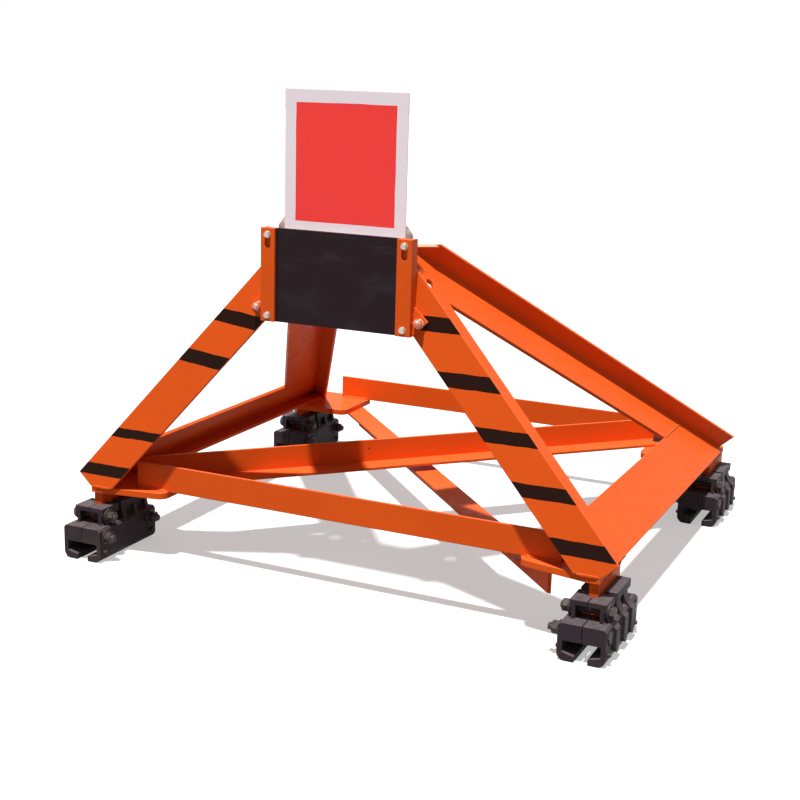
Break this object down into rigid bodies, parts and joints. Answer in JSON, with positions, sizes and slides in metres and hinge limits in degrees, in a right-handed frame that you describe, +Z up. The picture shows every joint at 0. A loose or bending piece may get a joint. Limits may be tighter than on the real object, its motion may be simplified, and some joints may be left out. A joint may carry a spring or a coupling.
{
  "type": "railway buffer stop",
  "caption": "Clamped end-of-track stop: a welded steel A-frame with a striking plate and a signal board, held to the rails by bolted clamps.",
  "frame": {"origin": "ground level under the soles of the clamps, midway between the clamps, on the track's centre line", "axes": "+X to the right across the track, +Y along the track away from the vehicle that is stopped, +Z up"},
  "size_m": [1.651, 1.488, 1.354],
  "materials": {
    "orange_paint": "satin",
    "black_paint": "matt",
    "clamp_iron": "rough cast, painted",
    "zinc": "zinc plated",
    "white_sheet": "satin"
  },
  "bodies": {
    "root": {"left_leg": "orange_paint", "right_leg": "orange_paint", "left_chord": "orange_paint", "right_chord": "orange_paint", "left_stay": "orange_paint", "right_stay": "orange_paint", "front_left_plate": "orange_paint", "front_right_plate": "orange_paint", "rear_left_plate": "orange_paint", "rear_right_plate": "orange_paint", "front_left_tee": "orange_paint", "front_right_tee": "orange_paint", "rear_left_tee": "orange_paint", "rear_right_tee": "orange_paint", "front_left_outer_jaw": "clamp_iron", "front_left_inner_jaw": "clamp_iron", "front_right_outer_jaw": "clamp_iron", "front_right_inner_jaw": "clamp_iron", "rear_left_outer_jaw": "clamp_iron", "rear_left_inner_jaw": "clamp_iron", "rear_right_outer_jaw": "clamp_iron", "rear_right_inner_jaw": "clamp_iron", "front_left_bolts": "zinc", "front_right_bolts": "zinc", "rear_left_bolts": "zinc", "rear_right_bolts": "zinc", "front_tie": "orange_paint", "rear_tie": "orange_paint", "upper_brace": "orange_paint", "lower_brace": "orange_paint", "left_cheek": "orange_paint", "right_cheek": "orange_paint", "strike_plate": "black_paint", "left_packer": "orange_paint", "right_packer": "orange_paint", "sign_bracket": "zinc", "sign_board": "white_sheet"}
  },
  "joints": []
}
